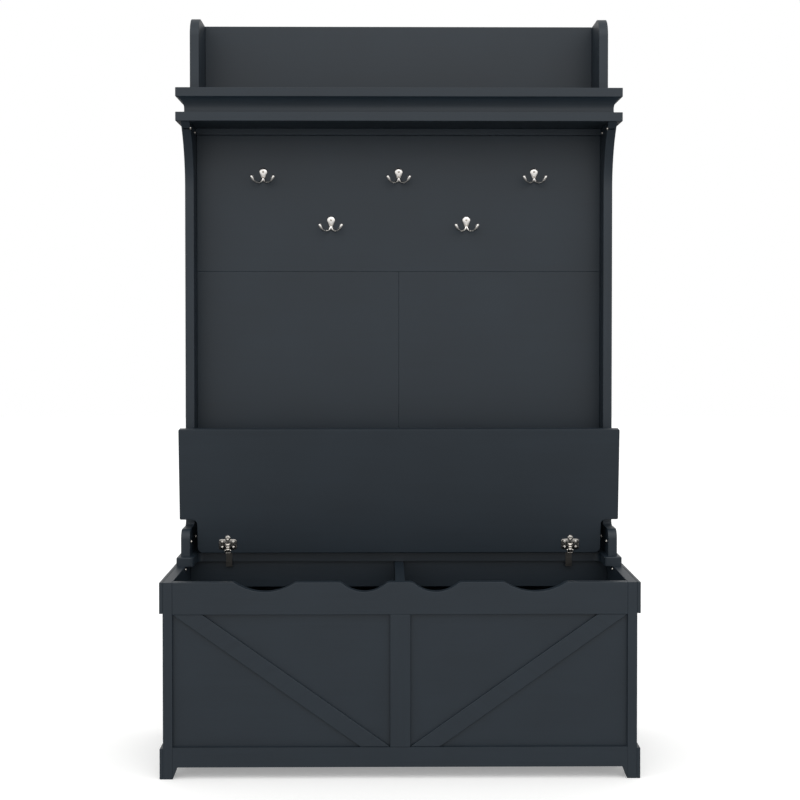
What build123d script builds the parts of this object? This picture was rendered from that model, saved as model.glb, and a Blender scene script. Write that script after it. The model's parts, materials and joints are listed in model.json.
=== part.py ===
"""Hall tree: storage bench with a lift-up lid, hook board, and a corniced top shelf.

Millimetres. X runs left to right, -Y is the front, +Z is up. The origin is on the floor,
under the middle of the bench. The lid is stored open, LID_OPEN degrees up from closed.
"""
from build123d import *
import math
import os

# --- overall sizes -------------------------------------------------------------------
BOARD = 20.0                 # thickness of the main boards
SHEET = 15.0                 # thickness of the back boards
EASE = 1.0                   # rounding of every board edge
DEPTH = 400.0                # bench, front to back
FRONT = -DEPTH / 2
BACK = DEPTH / 2

# --- bench ---------------------------------------------------------------------------
BENCH_HALF = 493.0           # outer face of a bench side
BENCH_IN = BENCH_HALF - BOARD
BENCH_TOP = 410.0
TRIM_T = 7.0                 # applied trims on the outer faces
TRIM_TOP_H = 65.0
TRIM_FOOT_H = 64.0
FOOT_GAP = 25.0              # clear height under the bench
FOOT_LEN = 40.0              # front to back length of each foot
RAIL_TOP_Z = 343.0           # underside of the front top rail
RAIL_LOW_Z = 66.5            # top of the front bottom rail
STILE_HALF = 21.0
PANEL_T = 12.0
PANEL_RECESS = 8.0
BRACE_W = 36.0
BRACE_T = 6.0
BRACKET_RUN = 10.0           # slanted end brackets of the bottom rail
FLOOR_T = 18.0
DIVIDER_HALF = 10.0
BOX_BACK_Y = BACK - SHEET
SCALLOP_DEPTH = 20.0
SCALLOPS = [(281.0, 128.0), (74.5, 96.0)]     # distance from the middle, width
SCALLOP_SOFT = 14.0

# --- fixed rear part of the seat and the lid ------------------------------------------
SEAT_TOP = BENCH_TOP + BOARD
LEDGE_Y = 83.0               # front of the fixed seat board between its two ends
SEAT_END_Y = 8.0             # front of its two ends
SEAT_END_IN = 455.0          # inner face of its two ends
SEAT_EASE = 2.5              # rounder top edge of the fixed seat board
LID_HALF = 491.0
TONGUE_HALF = 452.0          # half width of the lid's rear tongue
LID_REAR = 80.0
LID_STEP = 4.3               # where the tongue begins
LID_LIFT = 0.5               # lid rests this far above the box walls
LID_OPEN = 84.3              # stored opening angle, degrees

# --- lid hinges ------------------------------------------------------------------------
HINGE_X = 384.0
PIN_Y = 81.5
PIN_Z = SEAT_TOP + 3.6
PIN_R = 1.2
KNUCKLE_R = 2.8
LEAF_T = 1.5
LEAF_HALF = 7.0
LEAF_GAP = 0.7               # from the pin's axis to the near face of each leaf
POCKET_PLAY = 0.1            # side play of a leaf in its mortise
WING_W = 40.0                # winged plate under the lid
WING_H = 24.0
WING_ROUND = 6.0
WING_MID = 16.0              # middle of the wings, from the lid's rear edge
NOSE_MID = 30.0              # middle of the round nose, from the lid's rear edge
NOSE_R = 6.0
COLUMN_L = 20.0
COLUMN_HALF = 5.5            # raised column down the middle of the plate
COLUMN_T = 2.5
MID_KNUCKLE_HALF = 2.3
SIDE_KNUCKLE_IN = 2.6
RUN_FIT = 0.05               # radial clearance of the lid's knuckles on the pin
LEAF_FOOT_Z = 398.0
HINGE_RAIL_Y = 95.0
HINGE_RAIL_T = 18.0
HINGE_RAIL_H = 60.0

# --- hutch -----------------------------------------------------------------------------
HUTCH_HALF = 485.0
HUTCH_IN = HUTCH_HALF - BOARD
HUTCH_FRONT = 110.0
HUTCH_TOP = 1395.0
EAR_FRONT = 26.0
EAR_TOP = 489.0
EAR_ROUND = 20.0
EAR_COVE = 12.0
CORBEL_FRONT = 38.0
CORBEL_START = 1255.0
BACK_FACE = 165.0            # front face of the back boards
SEAM_Z = 1067.0              # joint between hook board and lower back boards
BATTEN_W = 50.0
CLEAT = 15.0

# --- cornice and upper shelf -------------------------------------------------------------
CORNICE_HALF = 495.0
CORNICE_FRONT = 25.0
CORNICE_LOW_TOP = HUTCH_TOP + BOARD
CORNICE_HIGH = 1449.0
SHELF_TOP = CORNICE_HIGH + BOARD
COVE_INSET = 17.5
COVE_FLARE = 15.5
COVE_START = 10.0            # plain height under the curve
COVE_T = 20.0
UPPER_HALF = 465.0
UPPER_IN = UPPER_HALF - BOARD
UPPER_FRONT = 45.0
UPPER_TOP = 1630.0
UPPER_ROUND = 43.0

# --- coat hooks --------------------------------------------------------------------------
HOOKS = [(-312.0, 1286.0), (0.0, 1286.0), (312.0, 1286.0), (-156.0, 1175.0), (156.0, 1175.0)]
HOOK_PLATE_T = 4.0
HOOK_HEAD_R = 9.4
HOOK_HEAD_Z = 10.6           # middles of the plate's head and waist, from the hook's place
HOOK_WAIST_R = 4.5
HOOK_WAIST_Z = -8.0
HOOK_SCREWS_Z = (10.5, -1.5)
PRONG_R = 2.7
PRONG_TIP_R = 3.8

# --- fasteners -----------------------------------------------------------------------------
DOWEL_R = 4.0
DOWEL_L = 30.0
BOLT_R = 3.0
BOLT_L = 16.0
BOLT_HEAD_R = 5.0
BOLT_HEAD_H = 3.0
SCREW_R = 1.5
SCREW_HEAD_R = 3.4
SCREW_HEAD_H = 1.6
LEAF_SCREW_L = 14.0
LID_SCREW_L = 12.0
HOOK_SCREW_L = 15.0


def block(x0, x1, y0, y1, z0, z1):
    """A plain box from its two corners."""
    size = Box(x1 - x0, y1 - y0, z1 - z0)
    return Pos((x0 + x1) / 2, (y0 + y1) / 2, (z0 + z1) / 2) * size


def board(x0, x1, y0, y1, z0, z1):
    """A board with every edge eased."""
    raw = block(x0, x1, y0, y1, z0, z1)
    return fillet(raw.edges(), EASE)


def sided(x0, x1, side):
    """An X range mirrored to the left (-1) or right (+1) half."""
    return sorted((side * x0, side * x1))


def rod(start, axis, radius, length):
    """A round bar from start along axis."""
    plane = Plane(origin=start, z_dir=axis)
    return extrude(plane * Circle(radius), length)


def profile_x(points_maker, x0, x1):
    """Extrude a closed YZ outline from x0 to x1."""
    outline = points_maker()
    face = make_face(outline)
    return extrude(face, amount=x1 - x0, dir=(1, 0, 0)).moved(Location((x0, 0, 0)))


def yz(y, z):
    """A point of a side outline, on the plane X = 0."""
    return (0, y, z)


# --- fastener positions ------------------------------------------------------------------

def dowel_set(places):
    """Dowels as (start, axis) pairs turned into solids."""
    return [rod(start, axis, DOWEL_R, DOWEL_L) for start, axis in places]


def bench_dowel_places():
    """Dowels from the bench sides into the rails and the floor."""
    into_side = DOWEL_L / 2
    spots = [(FRONT + BOARD / 2, BENCH_TOP - 20), (FRONT + BOARD / 2, RAIL_TOP_Z + 15)]
    spots.append((FRONT + BOARD / 2, (FOOT_GAP + RAIL_LOW_Z) / 2))
    spots += [(y, RAIL_LOW_Z - FLOOR_T / 2) for y in (-100.0, 40.0)]
    places = []
    for side in (-1, 1):
        for y, z in spots:
            places.append(((side * (BENCH_IN - into_side), y, z), (side, 0, 0)))
    return places


def hutch_dowel_places():
    """Upright dowels at the foot and head of each hutch side."""
    x_mid = (HUTCH_HALF + HUTCH_IN) / 2
    places = []
    for side in (-1, 1):
        for y in (90.0, 178.0):
            places.append(((side * x_mid, y, SEAT_TOP - BOARD / 2), (0, 0, 1)))
            places.append(((side * x_mid, y, HUTCH_TOP - 20), (0, 0, 1)))
    return places


def upper_dowel_places():
    """Upright dowels under the upper sides and the upper back board."""
    x_mid = (UPPER_HALF + UPPER_IN) / 2
    z = SHELF_TOP - BOARD / 2
    places = [((side * x_mid, y, z), (0, 0, 1)) for side in (-1, 1) for y in (80.0, 150.0)]
    places += [((x, BACK_FACE + SHEET / 2, z), (0, 0, 1)) for x in (-300.0, 0.0, 300.0)]
    return places


def bolt_places(half, spots):
    """Bolts through the inner face at X = half, on both sides."""
    return [((side * half, y, z), (side, 0, 0)) for side in (-1, 1) for y, z in spots]


HUTCH_LOW_BOLTS = [(50.0, 459.0), (130.0, 459.0)]
HUTCH_HIGH_BOLTS = [(56.0, 1383.0), (132.0, 1383.0)]
BOX_BOLTS = [(15.0, 402.0)]


def shank_set(places):
    """The shanks only, used to drill the boards."""
    return [rod(start, axis, BOLT_R, BOLT_L) for start, axis in places]


def dome_head(start, axis, radius, height):
    """A low domed head standing on a face, facing against axis."""
    out = tuple(-a for a in axis)
    head = rod(start, out, radius, height)
    rim = head.edges().sort_by(Axis(start, out))[-1]
    return fillet(rim, height * 0.6)


def bolt_set(places):
    """Domed bolts: shank in the board, head on its inner face."""
    solids = []
    for start, axis in places:
        shank = rod(start, axis, BOLT_R, BOLT_L)
        solids.append(shank + dome_head(start, axis, BOLT_HEAD_R, BOLT_HEAD_H))
    return solids


def drilled(solid, cutters):
    """The solid with every cutter taken out of it."""
    for cutter in cutters:
        solid = solid - cutter
    return solid


# --- bench parts ---------------------------------------------------------------------------

def foot_cut(x0, x1):
    """The open arch between the front and back foot of a side."""
    arch = block(x0, x1, FRONT + FOOT_LEN, BACK - FOOT_LEN, -FOOT_GAP, FOOT_GAP)
    upper = arch.edges().filter_by(Axis.X).group_by(Axis.Z)[-1]
    return fillet(upper, FOOT_GAP * 0.6)


def bench_side(side, dowels, bolts):
    """Side board of the bench, standing on two feet."""
    x0, x1 = sided(BENCH_IN, BENCH_HALF, side)
    body = board(x0, x1, FRONT, BACK, 0, BENCH_TOP)
    body = body - foot_cut(x0 - 1, x1 + 1)
    return drilled(body, dowels + bolts)


def side_trim_top(side):
    """Applied strip along the top of the outer face."""
    x0, x1 = sided(BENCH_HALF, BENCH_HALF + TRIM_T, side)
    return board(x0, x1, FRONT, BACK, BENCH_TOP - TRIM_TOP_H, BENCH_TOP)


def side_trim_foot(side):
    """Applied strip along the foot of the outer face, with the same arch."""
    x0, x1 = sided(BENCH_HALF, BENCH_HALF + TRIM_T, side)
    body = board(x0, x1, FRONT, BACK, 0, TRIM_FOOT_H)
    return body - foot_cut(x0 - 1, x1 + 1)


def scallop_cut(x_mid, width):
    """A shallow circular dip in the rail's top edge."""
    half = width / 2
    radius = (half ** 2 + SCALLOP_DEPTH ** 2) / (2 * SCALLOP_DEPTH)
    z_mid = BENCH_TOP - SCALLOP_DEPTH + radius
    return rod((x_mid, FRONT - 1, z_mid), (0, 1, 0), radius, BOARD + 2)


def front_top_rail(dowels):
    """Front rail with four scallops in its top edge."""
    rail = block(-BENCH_IN, BENCH_IN, FRONT, FRONT + BOARD, RAIL_TOP_Z, BENCH_TOP)
    for offset, width in SCALLOPS:
        for side in (-1, 1):
            rail = rail - scallop_cut(side * offset, width)
    lips = [side * (offset + end * width / 2)
            for offset, width in SCALLOPS for side in (-1, 1) for end in (-1, 1)]
    uprights = rail.edges().filter_by(Axis.Y)
    soft = [e for e in uprights
            if e.center().Z > BENCH_TOP - 1 and min(abs(e.center().X - x) for x in lips) < 1]
    rail = fillet(soft, SCALLOP_SOFT)
    rim = [e for e in rail.edges() if abs(e.center().Y - FRONT) < 0.01]
    return drilled(fillet(rim, EASE), dowels)


def front_bottom_rail(dowels):
    """Front bottom rail, its slanted end brackets standing on the floor."""
    y = FRONT
    foot = BENCH_IN - BRACKET_RUN
    points = [(-BENCH_IN, y, 0), (-BENCH_IN, y, RAIL_LOW_Z), (BENCH_IN, y, RAIL_LOW_Z)]
    points += [(BENCH_IN, y, 0), (foot, y, FOOT_GAP), (-foot, y, FOOT_GAP)]
    face = make_face(Polyline(*points, close=True))
    rail = extrude(face, amount=BOARD, dir=(0, 1, 0))
    return drilled(rail, dowels)


def front_stile():
    """Upright between the two front panels."""
    return board(-STILE_HALF, STILE_HALF, FRONT, FRONT + BOARD, RAIL_LOW_Z, RAIL_TOP_Z)


def front_panel(side):
    """Recessed panel between rails, stile and side."""
    x0, x1 = sided(STILE_HALF, BENCH_IN, side)
    y0 = FRONT + PANEL_RECESS
    return block(x0, x1, y0, y0 + PANEL_T, RAIL_LOW_Z, RAIL_TOP_Z)


def front_brace(side):
    """Diagonal strip from the outer top corner to the foot of the stile."""
    run = BENCH_IN - STILE_HALF
    rise = RAIL_TOP_Z - RAIL_LOW_Z
    slope = math.atan2(rise, run - BRACE_W / math.sin(math.atan2(rise, run)))
    across = BRACE_W / math.sin(slope)
    y = FRONT + PANEL_RECESS - BRACE_T
    top, low = RAIL_TOP_Z, RAIL_LOW_Z
    points = [(side * BENCH_IN, y, top), (side * (BENCH_IN - across), y, top)]
    points += [(side * STILE_HALF, y, low), (side * (STILE_HALF + across), y, low)]
    face = make_face(Polyline(*points, close=True))
    strip = extrude(face, amount=BRACE_T, dir=(0, 1, 0))
    rim = [e for e in strip.edges() if abs(e.center().Y - y) < 0.01]
    return fillet(rim, EASE)


def box_floor(dowels):
    """Floor of the storage box."""
    floor = block(-BENCH_IN, BENCH_IN, FRONT + BOARD, BOX_BACK_Y, RAIL_LOW_Z - FLOOR_T, RAIL_LOW_Z)
    return drilled(floor, dowels)


def box_back():
    """Back of the storage box."""
    return board(-BENCH_IN, BENCH_IN, BOX_BACK_Y, BACK, FOOT_GAP, BENCH_TOP)


def box_divider():
    """Partition between the two compartments."""
    return board(-DIVIDER_HALF, DIVIDER_HALF, FRONT + BOARD, BOX_BACK_Y, RAIL_LOW_Z, BENCH_TOP)


def hinge_rail(side):
    """Rail under the seat board that carries the hinge feet."""
    x0, x1 = sided(DIVIDER_HALF, BENCH_IN, side)
    y1 = HINGE_RAIL_Y + HINGE_RAIL_T
    return board(x0, x1, HINGE_RAIL_Y, y1, BENCH_TOP - HINGE_RAIL_H, BENCH_TOP)


def seat_board(dowels):
    """Fixed rear part of the seat, with a forward arm at each end."""
    slab = block(-BENCH_HALF, BENCH_HALF, SEAT_END_Y, BACK, BENCH_TOP, SEAT_TOP)
    gap = block(-SEAT_END_IN, SEAT_END_IN, SEAT_END_Y - 5, LEDGE_Y, BENCH_TOP - 1, SEAT_TOP + 1)
    rear = gap.edges().filter_by(Axis.Z).group_by(Axis.Y)[-1]
    slab = slab - fillet(rear, 15.0)
    inner = [e for e in slab.edges().filter_by(Axis.Z)
             if abs(e.center().Y - SEAT_END_Y) < 0.1 and abs(e.center().X) < SEAT_END_IN + 1]
    slab = fillet(inner, 9.0)
    outer = [e for e in slab.edges().filter_by(Axis.Z) if abs(abs(e.center().X) - BENCH_HALF) < 0.1]
    slab = fillet(outer, 3.0)
    rims = [e for e in slab.edges() if abs(e.center().Z - SEAT_TOP) < 0.01]
    slab = fillet(rims, SEAT_EASE)
    pockets = [leaf_pocket(side) for side in (-1, 1)]
    return drilled(slab, dowels + pockets)


def seat_lid():
    """Lift-up part of the seat, modelled closed."""
    z0 = BENCH_TOP + LID_LIFT
    wide = block(-LID_HALF, LID_HALF, FRONT, LID_STEP, z0, z0 + BOARD)
    tongue = block(-TONGUE_HALF, TONGUE_HALF, LID_STEP, LID_REAR, z0, z0 + BOARD)
    lid = wide + tongue
    uprights = lid.edges().filter_by(Axis.Z)
    corners = [e for e in uprights if abs(abs(e.center().X) - TONGUE_HALF) < 0.1]
    lid = fillet(corners, 12.0)
    outer = [e for e in lid.edges().filter_by(Axis.Z) if abs(abs(e.center().X) - LID_HALF) < 0.1]
    lid = fillet(outer, 3.0)
    rims = [e for e in lid.edges() if abs(e.center().Z - z0 - BOARD / 2) > BOARD / 2 - 0.01]
    return fillet(rims, EASE)


# --- lid hinges ------------------------------------------------------------------------------

def leaf_pocket(side):
    """Shallow mortise for the fixed leaf in the ledge's front face."""
    x = side * HINGE_X
    half = LEAF_HALF + POCKET_PLAY
    y1 = PIN_Y + LEAF_GAP + LEAF_T
    return block(x - half, x + half, LEDGE_Y - 1, y1, BENCH_TOP - 1, SEAT_TOP + 1)


def fixed_leaf(side):
    """Leaf on the ledge's front face, with its foot and the middle knuckle."""
    x = side * HINGE_X
    y0 = PIN_Y + LEAF_GAP
    y1 = y0 + LEAF_T
    strip = block(x - LEAF_HALF, x + LEAF_HALF, y0, y1, LEAF_FOOT_Z, SEAT_TOP + 0.3)
    foot = block(x - LEAF_HALF, x + LEAF_HALF, y0, HINGE_RAIL_Y, LEAF_FOOT_Z, LEAF_FOOT_Z + LEAF_T)
    neck = block(x - MID_KNUCKLE_HALF, x + MID_KNUCKLE_HALF, y0, y1, SEAT_TOP, PIN_Z)
    knuckle = rod((x - MID_KNUCKLE_HALF, PIN_Y, PIN_Z), (1, 0, 0), KNUCKLE_R, 2 * MID_KNUCKLE_HALF)
    bore = rod((x - LEAF_HALF, PIN_Y, PIN_Z), (1, 0, 0), PIN_R, 2 * LEAF_HALF)
    leaf = strip + foot + neck + knuckle - bore
    return drilled(leaf, leaf_screw_shanks(side))


def leaf_screw_places(side):
    """Two screws through the fixed leaf into the ledge."""
    x = side * HINGE_X
    return [((x, PIN_Y + LEAF_GAP, z), (0, 1, 0)) for z in (SEAT_TOP - 6, SEAT_TOP - 14)]


def leaf_screw_shanks(side):
    """Clearance taken out of leaf and ledge by those screws."""
    return [rod(start, axis, SCREW_R, LEAF_SCREW_L) for start, axis in leaf_screw_places(side)]


def flat_screw(start, axis, length):
    """A small flat headed screw, its head standing thinly on the metal."""
    return rod(start, axis, SCREW_R, length) + dome_head(start, axis, SCREW_R * 1.6, 0.5)


def hinge_pin(side):
    """Pin through all three knuckles."""
    return rod((side * HINGE_X - LEAF_HALF, PIN_Y, PIN_Z), (1, 0, 0), PIN_R, 2 * LEAF_HALF)


def lid_leaf(side):
    """Winged plate under the lid, its strap wrapping the rear edge up to the pin."""
    x = side * HINGE_X
    z1 = BENCH_TOP + LID_LIFT
    z0 = z1 - LEAF_T
    y0 = PIN_Y - LEAF_GAP - LEAF_T
    y1 = y0 + LEAF_T
    wing_outline = RectangleRounded(WING_W, WING_H, WING_ROUND)
    wings = Pos(x, LID_REAR - WING_MID, z0) * extrude(wing_outline, LEAF_T)
    nose = rod((x, LID_REAR - NOSE_MID, z0), (0, 0, 1), NOSE_R, LEAF_T)
    tail = block(x - LEAF_HALF, x + LEAF_HALF, LID_REAR - WING_MID, y1, z0, z1)
    column = block(x - COLUMN_HALF, x + COLUMN_HALF, LID_REAR - COLUMN_L, y1, z0 - COLUMN_T, z0)
    strap = block(x - LEAF_HALF, x + LEAF_HALF, y0, y1, z0, PIN_Z)
    leaf = wings + nose + tail + column + strap
    for end in (-1, 1):
        start = (x + end * SIDE_KNUCKLE_IN, PIN_Y, PIN_Z)
        leaf = leaf + rod(start, (end, 0, 0), KNUCKLE_R, LEAF_HALF - SIDE_KNUCKLE_IN)
    inner = SIDE_KNUCKLE_IN
    gap = block(x - inner, x + inner, PIN_Y - 4, PIN_Y + 4, SEAT_TOP + 0.4, PIN_Z + 4)
    bore = rod((x - LEAF_HALF - 1, PIN_Y, PIN_Z), (1, 0, 0), PIN_R + RUN_FIT, 2 * LEAF_HALF + 2)
    return drilled(leaf - gap - bore, lid_screw_shanks(side))


def lid_pocket(side):
    """Shallow mortise for the strap in the lid's rear edge."""
    x = side * HINGE_X
    half = LEAF_HALF + POCKET_PLAY
    y0 = PIN_Y - LEAF_GAP - LEAF_T
    return block(x - half, x + half, y0, LID_REAR + 1, BENCH_TOP, SEAT_TOP + 1)


def lid_screw_places(side):
    """Four screws through the wings and a rivet through the nose, into the lid."""
    x = side * HINGE_X
    z = BENCH_TOP + LID_LIFT - LEAF_T
    spots = [(-12.5, 10), (12.5, 10), (-12.5, 22), (12.5, 22), (0, NOSE_MID)]
    return [((x + dx, LID_REAR - dy, z), (0, 0, 1)) for dx, dy in spots]


def lid_screw_shanks(side):
    """The shanks of those screws, taken out of plate and lid."""
    return [rod(start, axis, SCREW_R, LID_SCREW_L) for start, axis in lid_screw_places(side)]


def lid_screws():
    """All screws that hold the two lid plates."""
    solids = []
    for side in (-1, 1):
        for start, axis in lid_screw_places(side):
            head = dome_head(start, axis, SCREW_HEAD_R, SCREW_HEAD_H)
            solids.append(rod(start, axis, SCREW_R, LID_SCREW_L) + head)
    return solids


def opened(solid):
    """Turn a lid part about the pins from closed to the stored open position."""
    pins = Axis((0, PIN_Y, PIN_Z), (1, 0, 0))
    return solid.rotate(pins, -LID_OPEN)


# --- hutch -----------------------------------------------------------------------------------

def hutch_outline():
    """Side outline: ear at the foot, plain stretch, corbel under the cornice."""
    run = HUTCH_FRONT - CORBEL_FRONT
    rise = HUTCH_TOP - CORBEL_START
    radius = (run ** 2 + rise ** 2) / (2 * run)
    half_turn = math.asin(rise / radius) / 2
    mid = yz(HUTCH_FRONT - radius * (1 - math.cos(half_turn)), CORBEL_START + radius * math.sin(half_turn))
    corbel = ThreePointArc(yz(HUTCH_FRONT, CORBEL_START), mid, yz(CORBEL_FRONT, HUTCH_TOP))
    edges = [Line(yz(BACK, SEAT_TOP), yz(EAR_FRONT, SEAT_TOP))]
    edges.append(Line(yz(EAR_FRONT, SEAT_TOP), yz(EAR_FRONT, EAR_TOP)))
    edges.append(Line(yz(EAR_FRONT, EAR_TOP), yz(HUTCH_FRONT, EAR_TOP)))
    edges.append(Line(yz(HUTCH_FRONT, EAR_TOP), yz(HUTCH_FRONT, CORBEL_START)))
    edges.append(corbel)
    edges.append(Line(yz(CORBEL_FRONT, HUTCH_TOP), yz(BACK, HUTCH_TOP)))
    edges.append(Line(yz(BACK, HUTCH_TOP), yz(BACK, SEAT_TOP)))
    return edges


def edges_at(solid, y, z):
    """Edges along X that pass a given point of a side outline."""
    return [e for e in solid.edges().filter_by(Axis.X)
            if abs(e.center().Y - y) < 0.1 and abs(e.center().Z - z) < 0.1]


def hutch_side(side, dowels, bolts):
    """Tall side board of the hutch."""
    x0, x1 = sided(HUTCH_IN, HUTCH_HALF, side)
    body = profile_x(hutch_outline, x0, x1)
    body = fillet(edges_at(body, EAR_FRONT, EAR_TOP), EAR_ROUND)
    body = fillet(edges_at(body, HUTCH_FRONT, EAR_TOP), EAR_COVE)
    rims = [e for e in body.edges()
            if abs(abs(e.center().X) - (HUTCH_IN + BOARD / 2)) > BOARD / 2 - 0.01
            and e.center().Y < BACK - 1 and SEAT_TOP + 1 < e.center().Z < HUTCH_TOP - 1]
    body = chamfer(rims, EASE * 0.8)
    return drilled(body, dowels + bolts)


def lower_back(side):
    """Lower back board, one on each side of the middle joint."""
    x0, x1 = sided(0, HUTCH_IN, side)
    return board(x0, x1, BACK_FACE, BACK_FACE + SHEET, SEAT_TOP, SEAM_Z)


def hook_board(cutters):
    """Upper back board that carries the coat hooks."""
    body = board(-HUTCH_IN, HUTCH_IN, BACK_FACE, BACK_FACE + SHEET, SEAM_Z, HUTCH_TOP)
    return drilled(body, cutters)


def cross_batten():
    """Batten behind the joint between hook board and lower boards."""
    z0 = SEAM_Z - BATTEN_W / 2
    return board(-HUTCH_IN, HUTCH_IN, BACK_FACE + SHEET, BACK, z0, z0 + BATTEN_W)


def middle_batten():
    """Upright batten behind the joint of the two lower boards."""
    half = BATTEN_W / 2
    return board(-half, half, BACK_FACE + SHEET, BACK, SEAT_TOP, SEAM_Z - half)


def shelf_cleat():
    """Strip under the cornice, against the hook board."""
    return board(-HUTCH_IN, HUTCH_IN, BACK_FACE - CLEAT, BACK_FACE, HUTCH_TOP - CLEAT, HUTCH_TOP)


# --- cornice and upper shelf --------------------------------------------------------------------

def cornice_board(z0, dowels):
    """Flat board of the cornice."""
    body = board(-CORNICE_HALF, CORNICE_HALF, CORNICE_FRONT, BACK, z0, z0 + BOARD)
    return drilled(body, dowels)


def cove_section(origin, out):
    """Cove outline on an upright plane, its face towards the out direction."""
    def at(reach, z):
        return tuple(o + d * reach for o, d in zip(origin, out))[:2] + (z,)

    start = CORNICE_LOW_TOP + COVE_START
    rise = CORNICE_HIGH - start
    radius = (COVE_FLARE ** 2 + rise ** 2) / (2 * COVE_FLARE)
    half_turn = math.asin(rise / radius) / 2
    mid = at(radius * (1 - math.cos(half_turn)), start + radius * math.sin(half_turn))
    edges = [Line(at(-COVE_T, CORNICE_LOW_TOP), at(0, CORNICE_LOW_TOP))]
    edges.append(Line(at(0, CORNICE_LOW_TOP), at(0, start)))
    edges.append(ThreePointArc(at(0, start), mid, at(COVE_FLARE, CORNICE_HIGH)))
    edges.append(Line(at(COVE_FLARE, CORNICE_HIGH), at(-COVE_T, CORNICE_HIGH)))
    edges.append(Line(at(-COVE_T, CORNICE_HIGH), at(-COVE_T, CORNICE_LOW_TOP)))
    return make_face(edges)


def mitre_wedge(points):
    """Upright prism that trims a cove to its mitred plan shape."""
    low = CORNICE_LOW_TOP - 1
    face = make_face(Polyline(*[(x, y, low) for x, y in points], close=True))
    return extrude(face, amount=CORNICE_HIGH - low + 1, dir=(0, 0, 1))


def front_cove():
    """Front cove moulding, mitred at both ends."""
    face_y = CORNICE_FRONT + COVE_INSET
    section = cove_section((-CORNICE_HALF, face_y, 0), (0, -1, 0))
    bar = extrude(section, amount=2 * CORNICE_HALF, dir=(1, 0, 0))
    deep = face_y + COVE_T - CORNICE_FRONT + 1
    outer = CORNICE_HALF
    wedge = [(-outer, CORNICE_FRONT), (outer, CORNICE_FRONT)]
    wedge += [(outer - deep, CORNICE_FRONT + deep), (deep - outer, CORNICE_FRONT + deep)]
    return bar & mitre_wedge(wedge)


def end_cove(side):
    """Cove moulding on one end of the cornice."""
    face_x = side * (CORNICE_HALF - COVE_INSET)
    section = cove_section((face_x, CORNICE_FRONT, 0), (side, 0, 0))
    bar = extrude(section, amount=BACK - CORNICE_FRONT, dir=(0, 1, 0))
    deep = COVE_INSET + COVE_T + 1
    outer = side * CORNICE_HALF
    inner = side * (CORNICE_HALF - deep)
    wedge = [(outer, CORNICE_FRONT), (outer, BACK), (inner, BACK), (inner, CORNICE_FRONT + deep)]
    return bar & mitre_wedge(wedge)


def cornice_back():
    """Rear rail that closes the hollow cornice."""
    half = CORNICE_HALF - COVE_INSET - COVE_T
    return block(-half, half, BACK - BOARD, BACK, CORNICE_LOW_TOP, CORNICE_HIGH)


def upper_side(side, dowels):
    """Side of the top shelf, rounded at its front top corner."""
    x0, x1 = sided(UPPER_IN, UPPER_HALF, side)
    body = block(x0, x1, UPPER_FRONT, BACK, SHELF_TOP, UPPER_TOP)
    body = fillet(edges_at(body, UPPER_FRONT, UPPER_TOP), UPPER_ROUND)
    rims = [e for e in body.edges()
            if abs(abs(e.center().X) - (UPPER_IN + BOARD / 2)) > BOARD / 2 - 0.01]
    return drilled(fillet(rims, EASE), dowels)


def upper_back(dowels):
    """Back board of the top shelf."""
    body = board(-UPPER_IN, UPPER_IN, BACK_FACE, BACK_FACE + SHEET, SHELF_TOP, UPPER_TOP)
    return drilled(body, dowels)


# --- coat hooks -----------------------------------------------------------------------------------

def hook_screw_places(x, z):
    """Two screws through a hook plate."""
    return [((x, BACK_FACE - HOOK_PLATE_T, z + dz), (0, 1, 0)) for dz in HOOK_SCREWS_Z]


def hook_screw_shanks():
    """The shanks of every hook screw, used to drill plates and board."""
    places = [place for x, z in HOOKS for place in hook_screw_places(x, z)]
    return [rod(start, axis, SCREW_R, HOOK_SCREW_L) for start, axis in places]


def hook_screws():
    """Every hook screw as one group."""
    solids = []
    for x, z in HOOKS:
        for start, axis in hook_screw_places(x, z):
            head = dome_head(start, axis, SCREW_R * 1.7, 0.8)
            solids.append(rod(start, axis, SCREW_R, HOOK_SCREW_L) + head)
    return solids


def prong(side):
    """One curved prong, from the plate's waist out to its rounded tip."""
    path = Spline((0, -3, -8), (side * 8, -9, -15.5), (side * 16, -20, -14), (side * 25, -26, -2))
    section = Plane(origin=path @ 0, z_dir=path % 0) * Circle(PRONG_R)
    return sweep(section, path=path) + Pos(side * 25, -26, -2) * Sphere(PRONG_TIP_R)


def coat_hook(x, z):
    """Double coat hook: teardrop plate with two prongs."""
    head = rod((0, 0, HOOK_HEAD_Z), (0, -1, 0), HOOK_HEAD_R, HOOK_PLATE_T)
    waist = rod((0, 0, HOOK_WAIST_Z), (0, -1, 0), HOOK_WAIST_R, HOOK_PLATE_T)
    lean = math.asin((HOOK_HEAD_R - HOOK_WAIST_R) / (HOOK_HEAD_Z - HOOK_WAIST_Z))
    neck_points = []
    for side in (-1, 1):
        ends = [(HOOK_HEAD_R, HOOK_HEAD_Z), (HOOK_WAIST_R, HOOK_WAIST_Z)]
        for radius, middle in ends[::side]:
            touch = (side * radius * math.cos(lean), 0, middle - radius * math.sin(lean))
            neck_points.append(touch)
    neck_face = make_face(Polyline(*neck_points, close=True))
    neck = extrude(neck_face, amount=HOOK_PLATE_T, dir=(0, -1, 0))
    body = head + waist + neck + prong(-1) + prong(1)
    shanks = [rod(start, axis, SCREW_R, HOOK_SCREW_L) for start, axis in hook_screw_places(x, z)]
    return drilled(body.moved(Location((x, BACK_FACE, z))), shanks)


# --- assembly ---------------------------------------------------------------------------------------

def save(node, shape):
    """Write one node; a list becomes a group of separate solids."""
    if isinstance(shape, list):
        shape = Compound(children=shape)
    export_step(shape, f"parts/{node}.step")


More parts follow.
